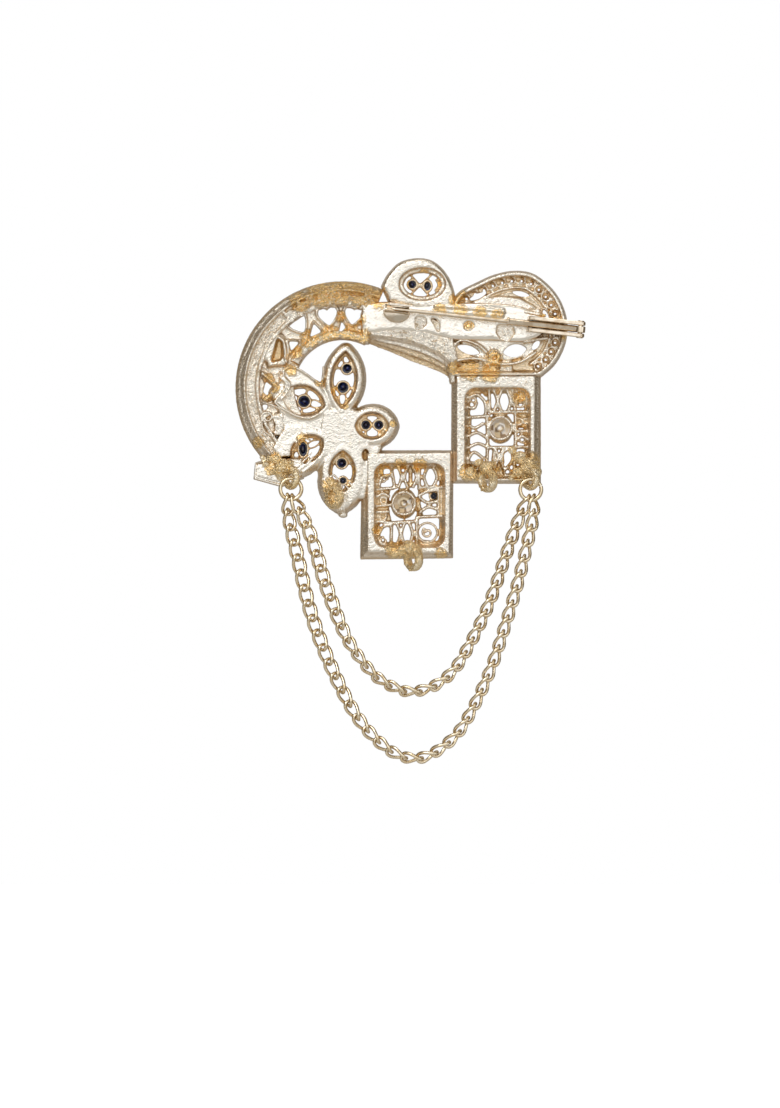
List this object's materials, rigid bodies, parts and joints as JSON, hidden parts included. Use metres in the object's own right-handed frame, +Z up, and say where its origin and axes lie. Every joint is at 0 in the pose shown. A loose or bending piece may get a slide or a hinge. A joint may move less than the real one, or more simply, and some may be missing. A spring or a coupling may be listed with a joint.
{
  "type": "lapel chain brooch",
  "caption": "Gold openwork brooch of crescent, flower, loop and tiles, seen from its back with the bar pin, with two chains hung in swags from jump rings below",
  "frame": {"origin": "the middle of the pin, on its axis, where the brooch is pinned on", "axes": "+X to the right seen from the back, +Y from the back to the decorated front, +Z up as worn"},
  "size_m": [0.063, 0.0078, 0.0909],
  "materials": {
    "cast_gold": "cast, gold plated",
    "pin_metal": "satin",
    "ring_metal": "polished",
    "chain_gold": "polished",
    "dark_stone": "polished",
    "clear_stone": "polished"
  },
  "bodies": {
    "brooch": {"frame": "cast_gold", "stone_petal_left": "dark_stone", "stone_petal_upper_high": "dark_stone", "stone_petal_upper_low": "dark_stone", "stone_petal_right_near": "dark_stone", "stone_petal_right_far": "dark_stone", "stone_petal_lower_high": "dark_stone", "stone_petal_lower_low": "dark_stone", "stone_petal_corner": "dark_stone", "stone_top_left": "dark_stone", "stone_top_right": "dark_stone", "stone_tile": "dark_stone", "crystal_tile_middle": "clear_stone", "crystal_tile_right": "clear_stone", "jump_ring_left": "ring_metal", "jump_ring_right": "ring_metal", "chain_inner": "chain_gold", "chain_outer": "chain_gold"},
    "pin": {"pin_stem": "pin_metal"}
  },
  "joints": [
    {"name": "pin_hinge", "type": "hinge", "parent": "brooch", "child": "pin", "pos_m": [0.017, 0, -0.00188], "axis": [0.1097, 0, 0.994], "range_deg": [0, 70]}
  ]
}
